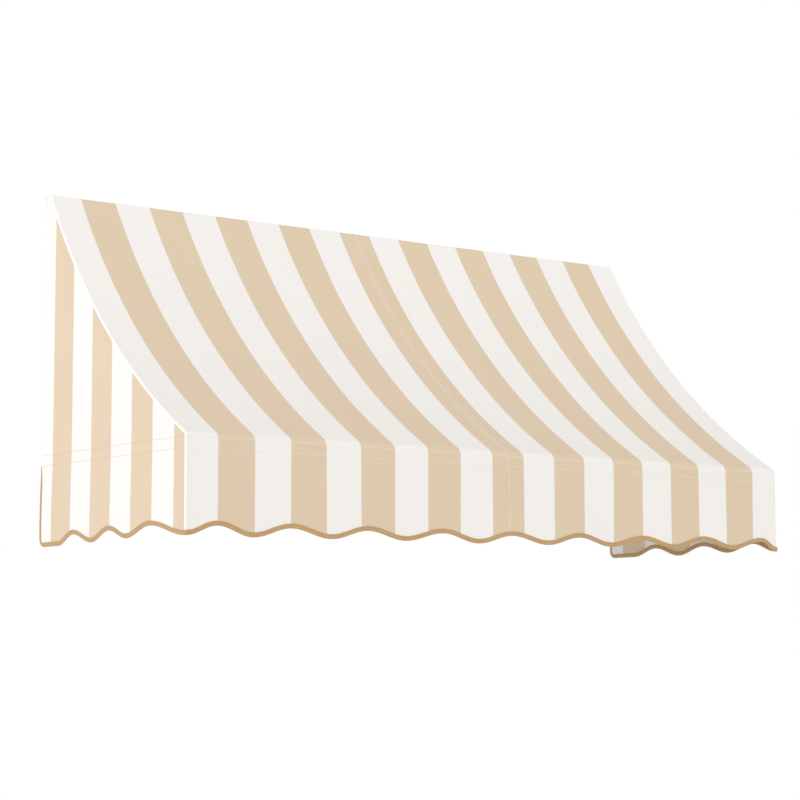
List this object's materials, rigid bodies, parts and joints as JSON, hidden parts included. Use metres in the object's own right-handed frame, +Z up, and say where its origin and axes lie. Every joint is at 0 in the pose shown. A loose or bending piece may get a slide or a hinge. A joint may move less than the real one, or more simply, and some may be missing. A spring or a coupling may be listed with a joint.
{
  "type": "fabric window awning",
  "caption": "Fixed wall awning with a concave striped canvas roof, closed sides and a scalloped valance over a square tube frame.",
  "frame": {"origin": "centre of the middle wall bracket's back face, between its two lag screw holes", "axes": "+Y into the wall, so the awning projects to -Y; +X along its width, to the right as seen from in front; +Z up"},
  "size_m": [1.6402, 0.6111, 0.77],
  "materials": {
    "striped_canvas": "woven acrylic canvas in even white and tan stripes, matt",
    "pocket_cloth": "plain off-white woven cloth, matt",
    "binding_tape": "folded braid tape in dark tan, fine rib",
    "tube_steel": "galvanised, fine spangle, dull",
    "cast_alloy": "as cast, tumbled",
    "strap_steel": "zinc plated, satin",
    "screw_steel": "bright zinc plated"
  },
  "bodies": {
    "root": {"arm_left": "tube_steel", "arm_pocket_left": "pocket_cloth", "arm_pocket_right": "pocket_cloth", "arm_right": "tube_steel", "bracket_header_centre": "strap_steel", "bracket_header_left": "strap_steel", "bracket_header_right": "strap_steel", "canopy_left": "striped_canvas", "canopy_right": "striped_canvas", "corner_front_left": "cast_alloy", "corner_front_right": "cast_alloy", "corner_header_left": "cast_alloy", "corner_header_right": "cast_alloy", "edge_binding": "binding_tape", "elbow_left": "cast_alloy", "elbow_right": "cast_alloy", "front_bar": "tube_steel", "front_pocket_left": "pocket_cloth", "front_pocket_right": "pocket_cloth", "header_bar": "tube_steel", "rafter_centre": "tube_steel", "rafter_left": "tube_steel", "rafter_right": "tube_steel", "rafter_sleeve_centre": "pocket_cloth", "rafter_sleeve_left": "pocket_cloth", "rafter_sleeve_right": "pocket_cloth", "screw_arm_back_left": "screw_steel", "screw_arm_back_right": "screw_steel", "screw_arm_front_left": "screw_steel", "screw_arm_front_right": "screw_steel", "screw_front_bar_left": "screw_steel", "screw_front_bar_right": "screw_steel", "screw_front_shoe_a": "screw_steel", "screw_front_shoe_b": "screw_steel", "screw_header_bracket_centre": "screw_steel", "screw_header_bracket_left": "screw_steel", "screw_header_bracket_right": "screw_steel", "screw_header_left": "screw_steel", "screw_header_right": "screw_steel", "screw_rafter_foot_left": "screw_steel", "screw_rafter_foot_right": "screw_steel", "screw_rafter_top_left": "screw_steel", "screw_rafter_top_right": "screw_steel", "screw_side_clip_left": "screw_steel", "screw_side_clip_right": "screw_steel", "screw_top_shoe_a": "screw_steel", "screw_top_shoe_b": "screw_steel", "screw_upright_foot_left": "screw_steel", "screw_upright_foot_right": "screw_steel", "screw_upright_top_left": "screw_steel", "screw_upright_top_right": "screw_steel", "shoe_front": "cast_alloy", "shoe_header": "cast_alloy", "side_clip_left": "strap_steel", "side_clip_right": "strap_steel", "side_panel_left": "striped_canvas", "side_panel_right": "striped_canvas", "upright_left": "tube_steel", "upright_right": "tube_steel"}
  },
  "joints": []
}
